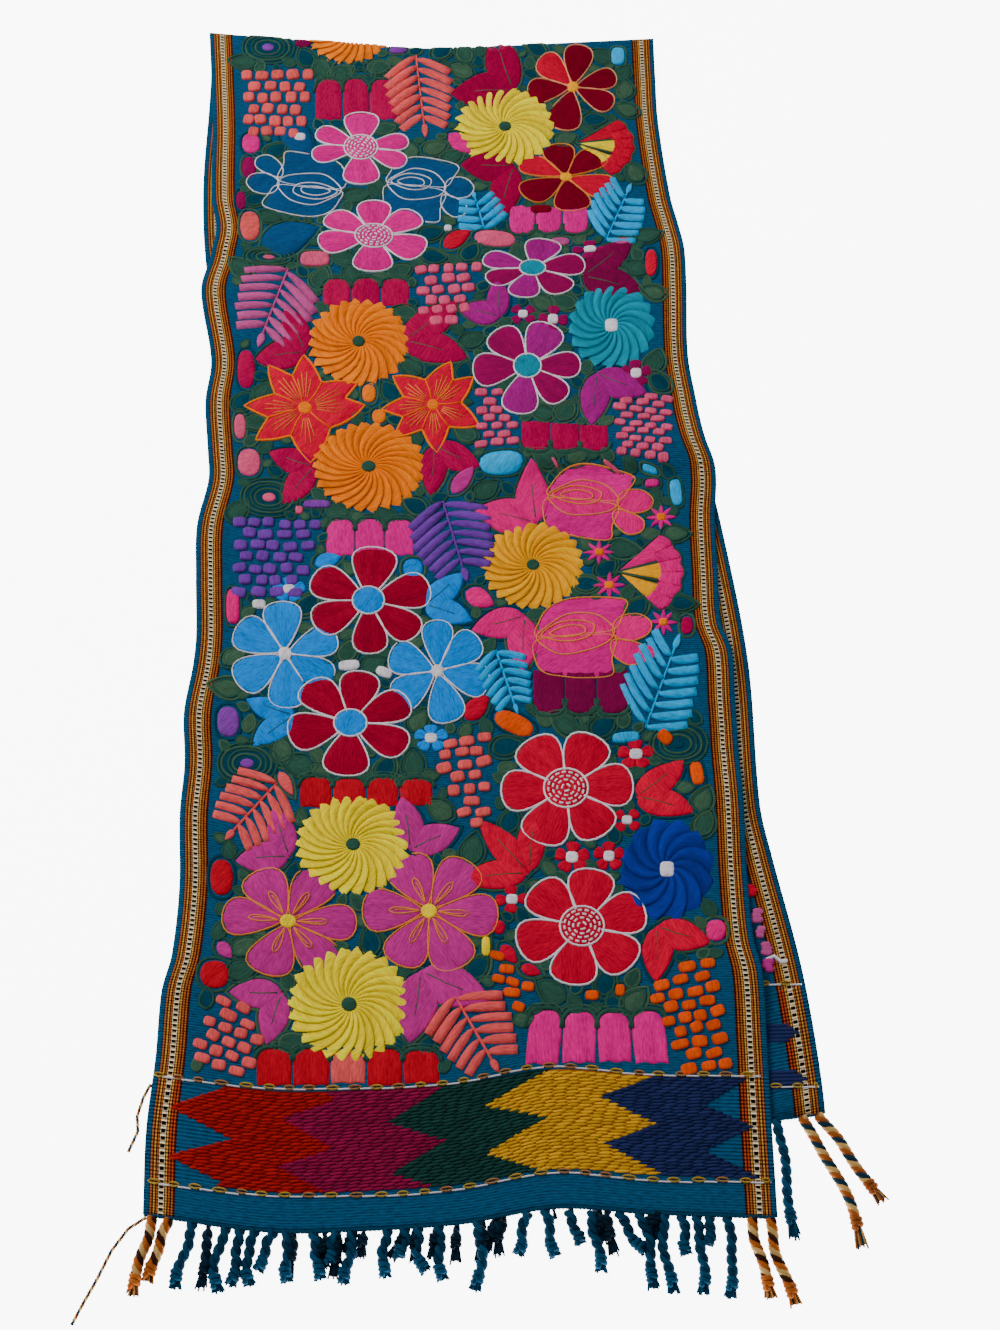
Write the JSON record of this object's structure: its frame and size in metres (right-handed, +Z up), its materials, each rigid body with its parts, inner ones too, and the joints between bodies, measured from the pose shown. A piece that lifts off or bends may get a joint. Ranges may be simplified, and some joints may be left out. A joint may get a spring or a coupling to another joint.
{
  "type": "embroidered table runner",
  "caption": "Woven cotton table runner with striped selvedges, dense floral embroidery and knotted fringes, folded once across and lying face up.",
  "frame": {"origin": "under the middle of the folded cloth, on the face that rests on the surface", "axes": "+X across the cloth towards its right selvedge, +Y from the front hem towards the fold, +Z up off the surface"},
  "size_m": [0.4779, 1.0274, 0.0144],
  "materials": {
    "embroidered_cloth": "woven cotton with satin-stitch embroidery",
    "fringe_yarn": "twisted cotton yarn"
  },
  "bodies": {
    "root": {"cloth": "embroidered_cloth", "fringe_front": "fringe_yarn", "fringe_back": "fringe_yarn"}
  },
  "joints": []
}
